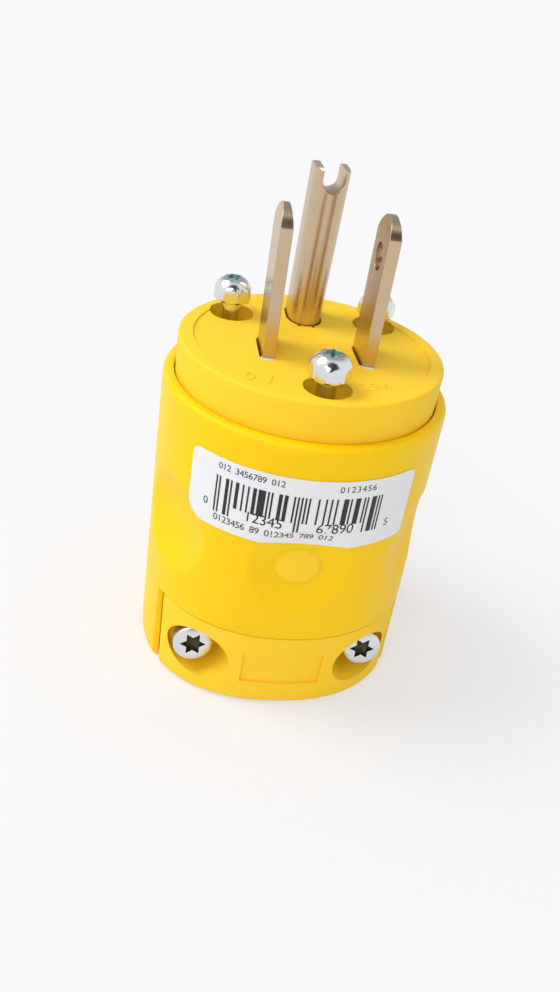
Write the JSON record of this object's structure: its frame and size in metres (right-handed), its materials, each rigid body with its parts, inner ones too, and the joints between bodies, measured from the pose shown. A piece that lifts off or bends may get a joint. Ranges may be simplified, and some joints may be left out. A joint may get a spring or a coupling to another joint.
{
  "type": "straight-blade grounding plug",
  "caption": "Round straight-blade grounding plug with a stepped front cover, proud assembly screws, finger dimples and a screw-down cord clamp at the rear.",
  "frame": {"origin": "on the body's axis at the rear face, where the cord enters", "axes": "+Z along the blades, +Y towards the ground pin, -Y towards the clamp jaw, +X towards the hot blade"},
  "size_m": [0.039, 0.0383, 0.0687],
  "materials": {
    "yellow_nylon": "fine satin moulding",
    "white_nylon": "satin moulding",
    "contact_brass": "pale plated brass",
    "screw_brass": "bright",
    "screw_silver": "nickel plated",
    "screw_green": "green dyed",
    "zinc_steel": "bright zinc",
    "label_paper": "satin self-adhesive film"
  },
  "bodies": {
    "plug": {"housing": "yellow_nylon", "front_cover": "yellow_nylon", "terminal_carrier": "white_nylon", "label": "label_paper", "hot_blade": "contact_brass", "neutral_blade": "contact_brass", "ground_pin": "contact_brass", "hot_terminal_screw": "screw_brass", "neutral_terminal_screw": "screw_silver", "ground_terminal_screw": "screw_green", "hot_wire_plate": "screw_brass", "neutral_wire_plate": "screw_silver", "ground_wire_plate": "screw_brass", "insert_front": "screw_brass", "insert_left": "screw_brass", "insert_right": "screw_brass", "clamp_nut_left": "zinc_steel", "clamp_nut_right": "zinc_steel"},
    "clamp": {"cord_clamp": "yellow_nylon", "clamp_screw_left": "zinc_steel", "clamp_screw_right": "zinc_steel"},
    "front_screw": {"assembly_screw_front": "zinc_steel"},
    "left_screw": {"assembly_screw_left": "zinc_steel"},
    "right_screw": {"assembly_screw_right": "zinc_steel"}
  },
  "joints": [
    {"name": "clamp_slide", "type": "slide", "parent": "plug", "child": "clamp", "axis": [0, 1, 0], "range_m": [0, 0.004]},
    {"name": "front_screw_slide", "type": "slide", "parent": "plug", "child": "front_screw", "axis": [0, 0, -1], "range_m": [0, 0.0062]},
    {"name": "left_screw_slide", "type": "slide", "parent": "plug", "child": "left_screw", "axis": [0, 0, -1], "range_m": [0, 0.00655]},
    {"name": "right_screw_slide", "type": "slide", "parent": "plug", "child": "right_screw", "axis": [0, 0, -1], "range_m": [0, 0.0059]}
  ]
}
